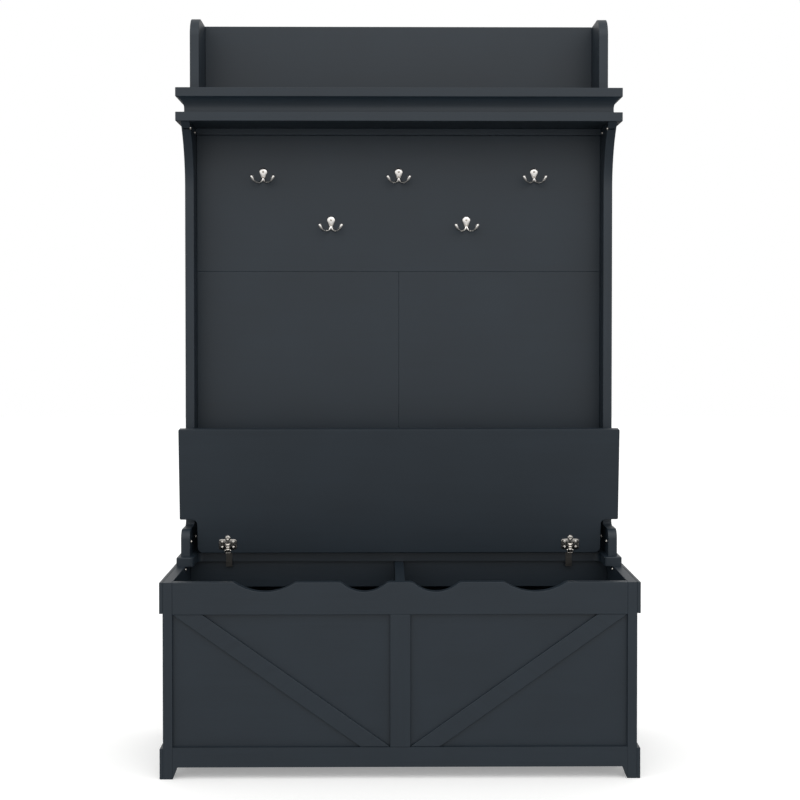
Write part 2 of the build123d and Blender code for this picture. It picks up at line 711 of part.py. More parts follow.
def save_bench(dowels, hutch_dowels):
    """Write the fixed parts of the bench."""
    box_shanks = shank_set(bolt_places(BENCH_IN, BOX_BOLTS))
    for side, name in ((-1, "left"), (1, "right")):
        save(f"bench_side_{name}", bench_side(side, dowels, box_shanks))
        save(f"side_trim_top_{name}", side_trim_top(side))
        save(f"side_trim_foot_{name}", side_trim_foot(side))
        save(f"front_panel_{name}", front_panel(side))
        save(f"front_brace_{name}", front_brace(side))
        save(f"hinge_rail_{name}", hinge_rail(side))
    save("front_top_rail", front_top_rail(dowels))
    save("front_bottom_rail", front_bottom_rail(dowels))
    save("front_stile", front_stile())
    save("box_floor", box_floor(dowels))
    save("box_back", box_back())
    save("box_divider", box_divider())
    leaf_shanks = leaf_screw_shanks(-1) + leaf_screw_shanks(1)
    save("seat_board", seat_board(hutch_dowels + leaf_shanks))
    save("bench_dowels", dowels)
    save("box_bolts", bolt_set(bolt_places(BENCH_IN, BOX_BOLTS)))


def save_lid():
    """Write the lid, its hinges and their screws."""
    lid_shanks = lid_screw_shanks(-1) + lid_screw_shanks(1)
    pockets = [lid_pocket(side) for side in (-1, 1)]
    save("seat_lid", opened(drilled(seat_lid(), pockets + lid_shanks)))
    for side, name in ((-1, "left"), (1, "right")):
        save(f"lid_hinge_plate_{name}", opened(lid_leaf(side)))
        save(f"fixed_hinge_leaf_{name}", fixed_leaf(side))
        save(f"hinge_pin_{name}", hinge_pin(side))
    save("lid_hinge_screws", [opened(solid) for solid in lid_screws()])
    places = leaf_screw_places(-1) + leaf_screw_places(1)
    save("fixed_leaf_screws", [flat_screw(start, axis, LEAF_SCREW_L) for start, axis in places])


def save_hutch(dowels, upper_dowels):
    """Write the hutch, cornice and top shelf."""
    low = bolt_places(HUTCH_IN, HUTCH_LOW_BOLTS)
    high = bolt_places(HUTCH_IN, HUTCH_HIGH_BOLTS)
    for side, name in ((-1, "left"), (1, "right")):
        save(f"hutch_side_{name}", hutch_side(side, dowels, shank_set(low + high)))
        save(f"lower_back_{name}", lower_back(side))
        save(f"cornice_cove_{name}", end_cove(side))
        save(f"upper_side_{name}", upper_side(side, upper_dowels))
    save("hook_board", hook_board(hook_screw_shanks()))
    save("cross_batten", cross_batten())
    save("middle_batten", middle_batten())
    save("shelf_cleat", shelf_cleat())
    save("cornice_lower_board", cornice_board(HUTCH_TOP, dowels))
    save("cornice_cove_front", front_cove())
    save("cornice_back_rail", cornice_back())
    save("shelf_top_board", cornice_board(CORNICE_HIGH, upper_dowels))
    save("upper_back", upper_back(upper_dowels))
    save("hutch_dowels", dowels)
    save("upper_dowels", upper_dowels)
    save("hutch_bolts_lower", bolt_set(low))
    save("hutch_bolts_upper", bolt_set(high))


def save_hooks():
    """Write the coat hooks and their screws."""
    for number, (x, z) in enumerate(HOOKS, start=1):
        save(f"coat_hook_{number}", coat_hook(x, z))
    save("coat_hook_screws", hook_screws())


def main():
    """Build every node of the hall tree."""
    os.makedirs("parts", exist_ok=True)
    hutch_dowels = dowel_set(hutch_dowel_places())
    save_bench(dowel_set(bench_dowel_places()), hutch_dowels)
    save_lid()
    save_hutch(hutch_dowels, dowel_set(upper_dowel_places()))
    save_hooks()


if __name__ == "__main__":
    main()
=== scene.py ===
"""Finishes, small metalwork and stage for a painted hall tree with a lift-up seat and hooks."""

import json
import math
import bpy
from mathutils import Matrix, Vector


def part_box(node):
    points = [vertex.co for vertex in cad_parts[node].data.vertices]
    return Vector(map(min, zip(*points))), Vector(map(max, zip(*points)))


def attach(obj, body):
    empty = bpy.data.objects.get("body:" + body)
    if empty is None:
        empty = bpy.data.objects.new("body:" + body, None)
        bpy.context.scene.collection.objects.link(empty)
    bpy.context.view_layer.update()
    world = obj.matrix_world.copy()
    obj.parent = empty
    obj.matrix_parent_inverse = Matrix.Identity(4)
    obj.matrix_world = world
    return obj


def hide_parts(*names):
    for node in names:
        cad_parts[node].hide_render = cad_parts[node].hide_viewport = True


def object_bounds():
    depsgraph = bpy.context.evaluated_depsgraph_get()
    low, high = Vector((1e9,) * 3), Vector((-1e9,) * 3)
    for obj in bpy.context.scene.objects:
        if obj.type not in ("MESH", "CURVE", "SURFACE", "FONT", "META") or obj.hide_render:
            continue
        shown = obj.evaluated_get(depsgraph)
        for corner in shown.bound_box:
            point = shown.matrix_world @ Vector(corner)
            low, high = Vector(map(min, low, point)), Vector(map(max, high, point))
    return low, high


bl_info = {
    "name": "Hall tree with hooks",
    "version": (1, 0, 0),
    "blender": (4, 5, 0),
    "location": "3D View > Sidebar > Hall Tree",
    "description": "Painted boards, nickel hooks and hinges, and a soft studio for a hall tree",
    "category": "Object",
}

import bpy
import numpy as np
from bpy.props import FloatProperty, FloatVectorProperty, PointerProperty
from mathutils import Vector

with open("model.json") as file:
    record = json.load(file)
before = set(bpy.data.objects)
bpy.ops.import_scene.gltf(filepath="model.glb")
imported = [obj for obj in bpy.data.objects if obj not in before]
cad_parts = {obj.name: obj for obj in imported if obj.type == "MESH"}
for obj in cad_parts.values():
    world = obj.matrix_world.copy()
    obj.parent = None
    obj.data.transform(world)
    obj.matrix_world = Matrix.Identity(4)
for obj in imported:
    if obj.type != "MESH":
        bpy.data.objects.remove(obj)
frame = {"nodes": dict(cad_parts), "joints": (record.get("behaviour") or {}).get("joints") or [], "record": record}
CAD_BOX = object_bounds()

MM = 0.001
SIDES = (("left", -1), ("right", 1))
HOOK_COUNT = 5

# Boards by the way their grain runs. The rest run across, from left to right.
UPRIGHT_BOARDS = ("bench_side_left", "bench_side_right", "front_stile", "hutch_side_left",
                  "hutch_side_right", "upper_side_left", "upper_side_right", "middle_batten")
FRONT_TO_BACK_BOARDS = ("side_trim_top_left", "side_trim_top_right", "side_trim_foot_left",
                        "side_trim_foot_right", "cornice_cove_left", "cornice_cove_right",
                        "box_divider")
DOWEL_NODES = ("bench_dowels", "hutch_dowels", "upper_dowels")
METAL_NODES = ("fixed_hinge_leaf_left", "fixed_hinge_leaf_right", "hinge_pin_left",
               "hinge_pin_right", "fixed_leaf_screws")

# Paint: length and width of the grain's streaks in mm, then the width of clouds and spray texture.
STREAK_LONG = 220
STREAK_WIDE = 4
CLOUD_WIDE = 140 * MM
PEEL_WIDE = 1.6 * MM

# Lid hinge, with the lid closed. A reach runs forward from the lid's rear edge.
LID_LIFT = 0.5 * MM           # the closed lid rests this far above the box walls
LID_REAR_GAP = 2.2 * MM       # from the lid's rear edge to the fixed hinge leaf
PLATE_T = 1.5 * MM            # thickness of the pressed plate and of its strap
PLATE_HALF_DEEP = 12 * MM
PLATE_REACH = 16 * MM
PLATE_EASE = 0.6 * MM
NOSE_REACH = 30.2 * MM
NOSE_RADIUS = 6 * MM
ROLLER_REACHES = (4.2 * MM, 9.6 * MM, 15.0 * MM)
ROLLER_RADIUS = 2.3 * MM
ROLLER_HALF = 3.4 * MM
ROLLER_DROP = 1.0 * MM        # from the plate's face down to the rollers' axis
CHEEK_OUT = 4.3 * MM
CHEEK_HALF = 0.8 * MM
CHEEK_REACHES = (18 * MM, 1 * MM)   # front end, rear end
CHEEK_DROP = 2.2 * MM
PLATE_SCREWS_OUT = 12.5 * MM
PLATE_SCREW_REACHES = (10 * MM, 22 * MM)
STRAP_GAP = 0.7 * MM          # from the pin's axis forward to the strap
FLANGE_REACH = 4 * MM
KNUCKLE_RADIUS = 2.8 * MM
KNUCKLE_INNER = 2.6 * MM      # half the gap between the two outer knuckles

# Bolt heads: the CAD group, the side boards whose inner faces carry it, and each Y and Z in mm.
BOLT_GROUPS = (("hutch_bolts_lower", "hutch_side", ((50, 459), (130, 459))),
               ("hutch_bolts_upper", "hutch_side", ((56, 1383), (132, 1383))),
               ("box_bolts", "bench_side", ((15, 402),)))
BOLT_RADIUS = 5 * MM
BOLT_HEIGHT = 2.8 * MM

# Coat hook, measured up from its centre. The prong's curve is in mm: out, along Y and up.
HOOK_FOOT = -12.5 * MM
HOOK_NECK = 6 * MM            # the plate starts to widen this far above its foot
HOOK_SCREWS = (10.5 * MM, -1.5 * MM)
HOOK_SCREW_SEAT = 0.93        # share of the plate's thickness at which a screw head sits
PRONG_CURVE = ((1, -2.2, -5), (4, -4, -13), (12, -11, -21), (20.5, -28, -15.5), (25, -26, -2))
PRONG_ROOT = 3.1              # radii of the prong in mm
PRONG_STEM = 2.0
PRONG_BULB = 3.7

# Stage: places and sizes in metres, the floor's own faint glow, and the key light's watts.
FLOOR_HALF = 12.0
FLOOR_GLOW = 0.28
KEY_PLACE = (0.4, -2.4, 3.4)
KEY_TARGET = (0, 0.1, 1.1)
KEY_SIZE = 2.0
KEY_POWER = 14

# Brightness of the white tent above, below and behind the object, and where each ramp runs,
# as a share of the whole way up or back.
TENT_HIGH = 1.28
TENT_LOW = 0.25
TENT_BEHIND = 0.65
TENT_RISE = (-0.30, 0.15)
TENT_DEPTH = (-0.9, 0.6)

# Where the camera stands, in metres, and how far it turns up and to the right, in degrees.
CAMERA_PLACE = (-0.0306, -3.3012, 0.9422)
CAMERA_PITCH = -1.142
CAMERA_YAW = 0.554
CAMERA_LENS = 67.5
CAMERA_SHIFT = -0.0554


# --- colour and node helpers ------------------------------------------------------------

def linear(hex_colour):
    """An sRGB hex colour as a linear RGBA tuple."""
    parts = np.array([int(hex_colour[i:i + 2], 16) for i in (0, 2, 4)]) / 255
    out = np.where(parts <= 0.04045, parts / 12.92, ((parts + 0.055) / 1.055) ** 2.4)
    return (*out.tolist(), 1.0)


def add_node(tree, kind, inputs=None, links=None, **settings):
    """A node with its settings, its fixed inputs and the sockets linked into it."""
    node = tree.nodes.new(kind)
    for key, value in settings.items():
        setattr(node, key, value)
    for key, value in (inputs or {}).items():
        node.inputs[key].default_value = value
    for key, output in (links or {}).items():
        tree.links.new(output, node.inputs[key])
    return node


def new_material(name):
    """A new material and its node tree, emptied."""
    material = bpy.data.materials.new(name)
    material.use_nodes = True
    tree = material.node_tree
    tree.nodes.clear()
    return material, tree


def finish_material(tree, shader):
    """Link the shader to a new output."""
    add_node(tree, "ShaderNodeOutputMaterial", links={"Surface": shader.outputs[0]})


# --- materials ----------------------------------------------------------------------------

def slate_satin_paint(name, colour, stretch, turn=(0.0, 0.0, 0.0)):
    """Water-based satin paint sprayed on engineered board, with a faint combed grain under it.

    The eye sees an even dark slate with long soft streaks about 4 mm wide along the board, a
    slow cloudiness a hand wide, and the fine orange peel that a spray gun leaves.
    stretch is the streak length in mm along X, Y and Z; turn rotates the grain, in radians.
    """
    material, tree = new_material(name)
    place = add_node(tree, "ShaderNodeTexCoord").outputs["Object"]
    turned_place = add_node(tree, "ShaderNodeMapping", {"Rotation": turn}, {"Vector": place})
    scale = tuple(1 / (length * MM) for length in stretch)
    combed = add_node(tree, "ShaderNodeMapping", {"Scale": scale},
                      {"Vector": turned_place.outputs[0]})
    streak = add_node(tree, "ShaderNodeTexNoise", {"Scale": 1.0, "Detail": 4.0, "Roughness": 0.6},
                      {"Vector": combed.outputs[0]})
    cloud = add_node(tree, "ShaderNodeTexNoise", {"Scale": 1 / CLOUD_WIDE, "Detail": 2.0},
                     {"Vector": place})
    peel = add_node(tree, "ShaderNodeTexNoise", {"Scale": 1 / PEEL_WIDE, "Detail": 1.0},
                    {"Vector": place})
    dark = tuple(c * 0.90 for c in colour[:3]) + (1.0,)
    light = tuple(c * 1.10 for c in colour[:3]) + (1.0,)
    mixed = add_node(tree, "ShaderNodeMath", {1: 0.6}, {0: streak.outputs["Fac"]},
                     operation="MULTIPLY")
    tone = add_node(tree, "ShaderNodeMath", {1: 0.4},
                    {0: cloud.outputs["Fac"], 2: mixed.outputs[0]}, operation="MULTIPLY_ADD")
    shade = add_node(tree, "ShaderNodeMapRange", {"From Min": 0.35, "From Max": 0.65},
                     {"Value": tone.outputs[0]})
    paint = add_node(tree, "ShaderNodeMix", {"A": dark, "B": light},
                     {"Factor": shade.outputs[0]}, data_type="RGBA")
    gloss = add_node(tree, "ShaderNodeMapRange", {"To Min": 0.40, "To Max": 0.52},
                     {"Value": streak.outputs["Fac"]})
    comb_bump = add_node(tree, "ShaderNodeBump", {"Strength": 0.35, "Distance": 0.12 * MM},
                         {"Height": streak.outputs["Fac"]})
    peel_bump = add_node(tree, "ShaderNodeBump", {"Strength": 0.30, "Distance": 0.03 * MM},
                         {"Height": peel.outputs["Fac"], "Normal": comb_bump.outputs[0]})
    shader = add_node(tree, "ShaderNodeBsdfPrincipled", {"IOR": 1.47},
                      {"Base Color": socket(paint, "Result"), "Roughness": gloss.outputs[0],
                       "Normal": peel_bump.outputs[0]})
    finish_material(tree, shader)
    return material


def socket(node, name):
    """The colour output of a mix node, which has one output of that name for each data type."""
    return [out for out in node.outputs if out.name == name and out.type == "RGBA"][0]


def plated_nickel(name, colour, rough, grit):
    """Zinc alloy or steel, polished and nickel plated, then lightly handled.

    It mirrors the room softly. Its gloss wanders over patches about grit mm wide, from
    polishing and finger marks, and a very fine bump breaks the edge of each highlight.
    """
    material, tree = new_material(name)
    place = add_node(tree, "ShaderNodeTexCoord").outputs["Object"]
    patch = add_node(tree, "ShaderNodeTexNoise", {"Scale": 1 / (grit * MM), "Detail": 3.0},
                     {"Vector": place})
    fine = add_node(tree, "ShaderNodeTexNoise", {"Scale": 1 / (0.35 * MM), "Detail": 1.0},
                    {"Vector": place})
    dark = tuple(c * 0.86 for c in colour[:3]) + (1.0,)
    tint = add_node(tree, "ShaderNodeMix", {"A": dark, "B": colour},
                    {"Factor": patch.outputs["Fac"]}, data_type="RGBA")
    gloss = add_node(tree, "ShaderNodeMapRange", {"To Min": rough * 0.7, "To Max": rough * 1.3},
                     {"Value": patch.outputs["Fac"]})
    bump = add_node(tree, "ShaderNodeBump", {"Strength": 0.15, "Distance": 0.02 * MM},
                    {"Height": fine.outputs["Fac"]})
    shader = add_node(tree, "ShaderNodeBsdfPrincipled", {"Metallic": 1.0},
                      {"Base Color": socket(tint, "Result"), "Roughness": gloss.outputs[0],
                       "Normal": bump.outputs[0]})
    finish_material(tree, shader)
    return material


def plain_beech(name):
    """Turned beech dowel, unfinished: pale tan with short darker flecks along the rod."""
    material, tree = new_material(name)
    place = add_node(tree, "ShaderNodeTexCoord").outputs["Object"]
    combed = add_node(tree, "ShaderNodeMapping", {"Scale": (1 / (6 * MM),) * 3}, {"Vector": place})
    fleck = add_node(tree, "ShaderNodeTexNoise", {"Scale": 3.0, "Detail": 5.0},
                     {"Vector": combed.outputs[0]})
    tint = add_node(tree, "ShaderNodeMix", {"A": linear("B98F62"), "B": linear("D9B98C")},
                    {"Factor": fleck.outputs["Fac"]}, data_type="RGBA")
    bump = add_node(tree, "ShaderNodeBump", {"Strength": 0.4, "Distance": 0.1 * MM},
                    {"Height": fleck.outputs["Fac"]})
    shader = add_node(tree, "ShaderNodeBsdfPrincipled", {"Roughness": 0.65},
                      {"Base Color": socket(tint, "Result"), "Normal": bump.outputs[0]})
    finish_material(tree, shader)
    return material


# --- surfaces -------------------------------------------------------------------------------

def ring_surface(rings):
    """Close a stack of rings into a solid skin.

    rings is an array (count, around, 3). Neighbouring rings are joined by quads that wrap
    round, and each end ring is closed by a fan to its own mean point. The faces are turned
    round if the signed volume of the skin comes out negative.
    """
    count, around = rings.shape[:2]
    points = np.concatenate([rings.reshape(-1, 3), rings[:1].mean(1), rings[-1:].mean(1)])
    row = np.arange(count - 1)[:, None] * around
    here = np.arange(around)[None, :]
    there = (here + 1) % around
    quads = np.stack([row + here, row + there, row + there + around, row + here + around], -1)
    quads = quads.reshape(-1, 4)
    last = (count - 1) * around
    first_fan = np.stack([there[0], here[0], np.full(around, count * around)], -1)
    last_fan = np.stack([last + here[0], last + there[0], np.full(around, count * around + 1)],
                        -1)
    fans = np.concatenate([first_fan, last_fan])
    halves = np.concatenate([quads[:, (0, 1, 2)], quads[:, (0, 2, 3)], fans])
    a, b, c = (points[halves[:, i]] for i in range(3))
    if np.einsum("ij,ij->", a, np.cross(b, c)) < 0:
        quads, fans = quads[:, ::-1], fans[:, ::-1]
    return points, quads, fans


def make_piece(name, surfaces, material, body, nodes):
    """One mesh object from several closed skins, riding on a body and standing for CAD nodes."""
    points, faces, offset = [], [], 0
    for skin, quads, fans in surfaces:
        points.append(skin)
        faces += (quads + offset).tolist() + (fans + offset).tolist()
        offset += len(skin)
    mesh = bpy.data.meshes.new(name)
    mesh.from_pydata(np.concatenate(points).tolist(), [], faces)
    mesh.polygons.foreach_set("use_smooth", np.ones(len(faces), bool))
    mesh.materials.append(material)
    piece = bpy.data.objects.new(name, mesh)
    bpy.context.scene.collection.objects.link(piece)
    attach(piece, body)
    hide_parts(*nodes)
    return piece


def across_axis(axis):
    """Two unit vectors square to axis and to each other."""
    axis = np.asarray(axis, float)
    guide = np.array([0.0, 0.0, 1.0]) if abs(axis[2]) < 0.9 else np.array([1.0, 0.0, 0.0])
    first = np.cross(guide, axis)
    first /= np.linalg.norm(first)
    return first, np.cross(axis, first)


def turned(start, axis, radii, heights, around=32, recess=0.0, recess_reach=0.0):
    """A lathe-turned part: start + axis * height + radius * (cos a, sin a) square to the axis.

    A cross recess, if any, sinks the skin by recess where a ring point lies inside
    recess_reach and close to one of the two lines of the cross.
    """
    first, second = across_axis(axis)
    angle = np.linspace(0, 2 * math.pi, around, endpoint=False)[None, :]
    radius = np.asarray(radii, float)[:, None]
    height = np.asarray(heights, float)[:, None] * np.ones_like(angle)
    x, y = radius * np.cos(angle), radius * np.sin(angle)
    if recess:
        slot_half = recess_reach * 0.28
        near_line = np.clip(1.6 - np.minimum(abs(x), abs(y)) / slot_half, 0, 1)
        inside = np.clip((recess_reach - np.hypot(x, y)) / (recess_reach * 0.2), 0, 1)
        is_top = np.asarray(heights, float)[:, None] > 0
        height = height - recess * near_line * inside * is_top
    rings = (np.asarray(start, float) + height[..., None] * np.asarray(axis, float)
             + x[..., None] * first + y[..., None] * second)
    return ring_surface(rings)


def domed_head(start, axis, radius, height, sunk):
    """A domed screw head: a quarter ellipse from the rim to the crown, with a cross recess."""
    turn = np.linspace(0, 0.5 * math.pi, 14)[:-1]
    radii = np.concatenate([[radius * 0.92, radius], radius * np.cos(turn)])
    heights = np.concatenate([[-sunk, -sunk], height * np.sin(turn)])
    return turned(start, axis, radii, heights, around=48, recess=height * 0.55,
                  recess_reach=radius * 0.55)


def socket_head(start, axis, radius, height, sunk):
    """A domed bolt head with a hexagon socket.

    The dome is a quarter ellipse from the rim in to the socket's mouth. Inside the mouth the
    rings pass from a circle to a hexagon, whose radius is apothem / cos(angle to the nearest
    flat), and drop straight down to a flat bottom.
    """
    first, second = across_axis(axis)
    angle = np.linspace(0, 2 * math.pi, 48, endpoint=False)[None, :]
    apothem = radius * 0.42
    mouth = math.acos(0.55)
    turn = np.linspace(0, mouth, 10)
    radii = np.concatenate([[radius * 0.92, radius], radius * np.cos(turn), [apothem, apothem]])
    heights = np.concatenate([[-sunk, -sunk], height * np.sin(turn),
                              [height * math.sin(mouth), height * 0.2]])
    hexagon = np.concatenate([np.zeros(12), [1.0, 1.0]])[:, None]
    to_flat = (angle + math.pi / 6) % (math.pi / 3) - math.pi / 6
    reach = radii[:, None] * (1 - hexagon + hexagon / np.cos(to_flat))
    rings = (np.asarray(start, float) + heights[:, None, None] * np.asarray(axis, float)
             + (reach * np.cos(angle))[..., None] * first
             + (reach * np.sin(angle))[..., None] * second)
    return ring_surface(rings)


def superellipse(half_wide, half_long, power, angle):
    """Distance to the edge of a soft-cornered rectangle along each angle from its middle.

    It is (|cos a / wide|^n + |sin a / long|^n)^(-1/n), for a power n.
    """
    wide = abs(np.cos(angle) / half_wide) ** power
    return (wide + abs(np.sin(angle) / half_long) ** power) ** (-1 / power)


def disc_reach(offset, radius, angle):
    """Distance to the far side of a disc offset along +Y, along each angle, and 0 beside it.

    It is d sin a + sqrt(r^2 - d^2 + (d sin a)^2), for an offset d and a radius r.
    """
    along = offset * np.sin(angle)
    inside = radius ** 2 - offset ** 2 + along ** 2
    return np.where((inside > 0) & (along > 0), along + np.sqrt(np.clip(inside, 0, None)), 0)


def pressed_plate(middle, reach, thick, ease):
    """A stamped plate: its outline, given as reach over angle, stacked down through its thickness.

    The last part of the thickness rounds over by a quarter circle of radius ease.
    """
    angle = np.linspace(0, 2 * math.pi, len(reach), endpoint=False)
    turn = np.linspace(0, 0.5 * math.pi, 6)
    inset = np.concatenate([[0], ease * (1 - np.cos(turn))])
    depth = np.concatenate([[0], thick - ease * (1 - np.sin(turn))])
    radius = reach[None, :] - inset[:, None]
    rings = np.stack([radius * np.cos(angle), radius * np.sin(angle),
                      -depth[:, None] * np.ones_like(radius)], -1)
    return ring_surface(rings + np.asarray(middle))


def soft_bar(low, high, along, ease):
    """A bar with soft corners between two corner points, its ends eased.

    Its section is a superellipse square to the axis numbered along, and the section shrinks by
    ease over a quarter circle at each end.
    """
    low, high = np.asarray(low, float), np.asarray(high, float)
    first, second = [i for i in range(3) if i != along]
    half = (high - low) / 2
    angle = np.linspace(0, 2 * math.pi, 40, endpoint=False)
    reach = superellipse(half[first], half[second], 7, angle)
    turn = np.linspace(0, 0.5 * math.pi, 6)
    inset = np.concatenate([ease * (1 - np.sin(turn)), ease * (1 - np.cos(turn))])
    place = np.concatenate([low[along] + ease * (1 - np.cos(turn)),
                            high[along] - ease * (1 - np.sin(turn))])
    rings = np.zeros((len(place), len(angle), 3))
    middle = (low + high) / 2
    rings[..., first] = middle[first] + (reach - inset[:, None]) * np.cos(angle)
    rings[..., second] = middle[second] + (reach - inset[:, None]) * np.sin(angle)
    rings[..., along] = place[:, None]
    return ring_surface(rings)


def barrel(middle, radius, half, ease):
    """A round knuckle along X, its two rims rounded over by a quarter circle of radius ease."""
    turn = np.linspace(0, 0.5 * math.pi, 5)
    radii = np.concatenate([radius - ease * (1 - np.sin(turn)),
                            radius - ease * (1 - np.cos(turn))])
    reach = np.concatenate([-half + ease * (1 - np.cos(turn)), half - ease * (1 - np.sin(turn))])
    return turned(middle, (1, 0, 0), radii, reach)


def bezier(controls, count):
    """Points of a Bezier curve: the controls weighted by the Bernstein polynomials."""
    controls = np.asarray(controls, float)
    degree = len(controls) - 1
    t = np.linspace(0, 1, count)[:, None]
    k = np.arange(degree + 1)[None, :]
    weights = np.array([math.comb(degree, i) for i in range(degree + 1)])[None, :]
    return (weights * t ** k * (1 - t) ** (degree - k)) @ controls


def swept(path, radii, around=24, cap=8):
    """A round rod along a path, rounded at both ends.

    Each ring is centre + radius * (cos a, sin a) in the plane square to the path. Past each
    end the centre runs on by radius * sin b while the ring shrinks by cos b, a half ball.
    """
    way = np.gradient(path, axis=0)
    way /= np.linalg.norm(way, axis=1, keepdims=True)
    bend = np.linspace(0, 0.5 * math.pi, cap + 1)[1:-1]
    head = path[-1] + way[-1] * radii[-1] * np.sin(bend)[:, None]
    tail = path[0] - way[0] * radii[0] * np.sin(bend[::-1])[:, None]
    centres = np.concatenate([tail, path, head])
    ways = np.concatenate([np.repeat(way[:1], cap - 1, 0), way, np.repeat(way[-1:], cap - 1, 0)])
    radius = np.concatenate([radii[0] * np.cos(bend[::-1]), radii, radii[-1] * np.cos(bend)])
    first = np.cross(ways, [1.0, 0.0, 0.0])
    first /= np.linalg.norm(first, axis=1, keepdims=True)
    second = np.cross(ways, first)
    angle = np.linspace(0, 2 * math.pi, around, endpoint=False)
    ring = (np.cos(angle)[None, :, None] * first[:, None]
            + np.sin(angle)[None, :, None] * second[:, None])
    return ring_surface(centres[:, None] + radius[:, None, None] * ring)


def smooth_step(x):
    """0 below 0, 1 above 1, and 3x^2 - 2x^3 between."""
    x = np.clip(x, 0, 1)
    return x * x * (3 - 2 * x)


# --- coat hooks -------------------------------------------------------------------------------

def teardrop_plate(centre, head, waist, top, foot, thick):
    """The hook's plate: a stack of level sections, flat behind and bowed in front.

    The half width eases from waist to head over the neck and closes like a circle of
    radius head at the top and of radius waist at the foot.
    """
    turn = np.linspace(-0.5 * math.pi, 0.5 * math.pi, 60)
    z = (top + foot) / 2 + (top - foot) / 2 * np.sin(turn)
    climb = (z - (foot + HOOK_NECK)) / (top - head - foot - HOOK_NECK)
    width = waist + (head - waist) * smooth_step(climb)
    crown = np.sqrt(np.clip(1 - ((z - (top - head)) / head).clip(0, 1) ** 2, 0, 1))
    sole = np.sqrt(np.clip(1 - (((foot + waist) - z) / waist).clip(0, 1) ** 2, 0, 1))
    width = width * crown * sole
    angle = np.linspace(0, 2 * math.pi, 40, endpoint=False)[None, :]
    bow = np.clip(np.sin(angle), 0, 1) ** 0.55
    x = width[:, None] * np.cos(angle)
    rise = thick * (0.35 + 0.65 * np.sqrt(np.clip(width / head, 0, 1)))[:, None]
    y = -rise * bow * np.minimum(crown, sole)[:, None] ** 0.5
    rings = np.stack([x, y, z[:, None] * np.ones_like(x)], -1) + np.asarray(centre)
    return ring_surface(rings[1:-1])


def prong(centre, side):
    """One prong: a rod on a Bezier from the waist, down and out, forward and up to a bulb.

    Its radius eases from root to stem over the first half, and on to the bulb near the end.
    """
    count = 48
    path = bezier(np.array(PRONG_CURVE) * MM, count) * (side, 1, 1) + np.asarray(centre)
    t = np.linspace(0, 1, count)
    radii = (PRONG_ROOT + (PRONG_STEM - PRONG_ROOT) * smooth_step(t / 0.5)
             + (PRONG_BULB - PRONG_STEM) * smooth_step((t - 0.62) / 0.38)) * MM
    return swept(path, radii)


def hook_centre(sizes, number):
    """The middle of one hook on the face of its board, and the height from there to its top."""
    low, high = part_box(f"coat_hook_{number}")
    rise = sizes.hook_head * 0.5 + sizes.hook_drop
    return ((low.x + high.x) / 2, high.y, high.z - rise), rise


class HALLTREE_OT_coat_hooks(bpy.types.Operator):
    """Cast double coat hooks: a teardrop plate with two bulb-ended prongs"""

    bl_idname = "halltree.coat_hooks"
    bl_label = "Coat hooks"

    def execute(self, context):
        """Make each hook over the CAD hook that it stands for."""
        sizes = context.scene.hall_tree_sizes
        colour = tuple(context.scene.hall_tree_colours.hooks)
        finish = plated_nickel("satin_nickel_plate", colour, 0.24, 9)
        for number in range(1, HOOK_COUNT + 1):
            centre, rise = hook_centre(sizes, number)
            plate = teardrop_plate(centre, sizes.hook_head, sizes.hook_waist, rise, HOOK_FOOT,
                                   sizes.hook_thick)
            prongs = [prong(centre, side) for _, side in SIDES]
            make_piece(f"double_hook_{number}", [plate] + prongs, finish, "cabinet",
                       [f"coat_hook_{number}"])
        return {"FINISHED"}


class HALLTREE_OT_hook_screws(bpy.types.Operator):
    """Two small domed screws in each hook plate"""

    bl_idname = "halltree.hook_screws"
    bl_label = "Hook screws"

    def execute(self, context):
        """Make all heads as one piece for the CAD group of screws."""
        sizes = context.scene.hall_tree_sizes
        finish = plated_nickel("bright_nickel_screws", linear("C9C2B8"), 0.18, 5)
        heads = []
        for number in range(1, HOOK_COUNT + 1):
            (x, y, z), _ = hook_centre(sizes, number)
            for height in HOOK_SCREWS:
                place = (x, y - sizes.hook_thick * HOOK_SCREW_SEAT, z + height)
                heads.append(domed_head(place, (0, -1, 0), 2.6 * MM, 0.8 * MM, 1.0 * MM))
        make_piece("hook_screw_heads", heads, finish, "cabinet",
                   ["coat_hook_screws"])
        return {"FINISHED"}


# --- stage --------------------------------------------------------------------------------------

def soft_box(name, place, target, size, power):
    """A square area light at place, aimed at target."""
    light = bpy.data.lights.new(name, "AREA")
    light.shape = "SQUARE"
    light.size = size
    light.energy = power
    lamp = bpy.data.objects.new(name, light)
    lamp.location = place
    aim = Vector(target) - Vector(place)
    lamp.rotation_euler = aim.to_track_quat("-Z", "Y").to_euler()
    bpy.context.scene.collection.objects.link(lamp)


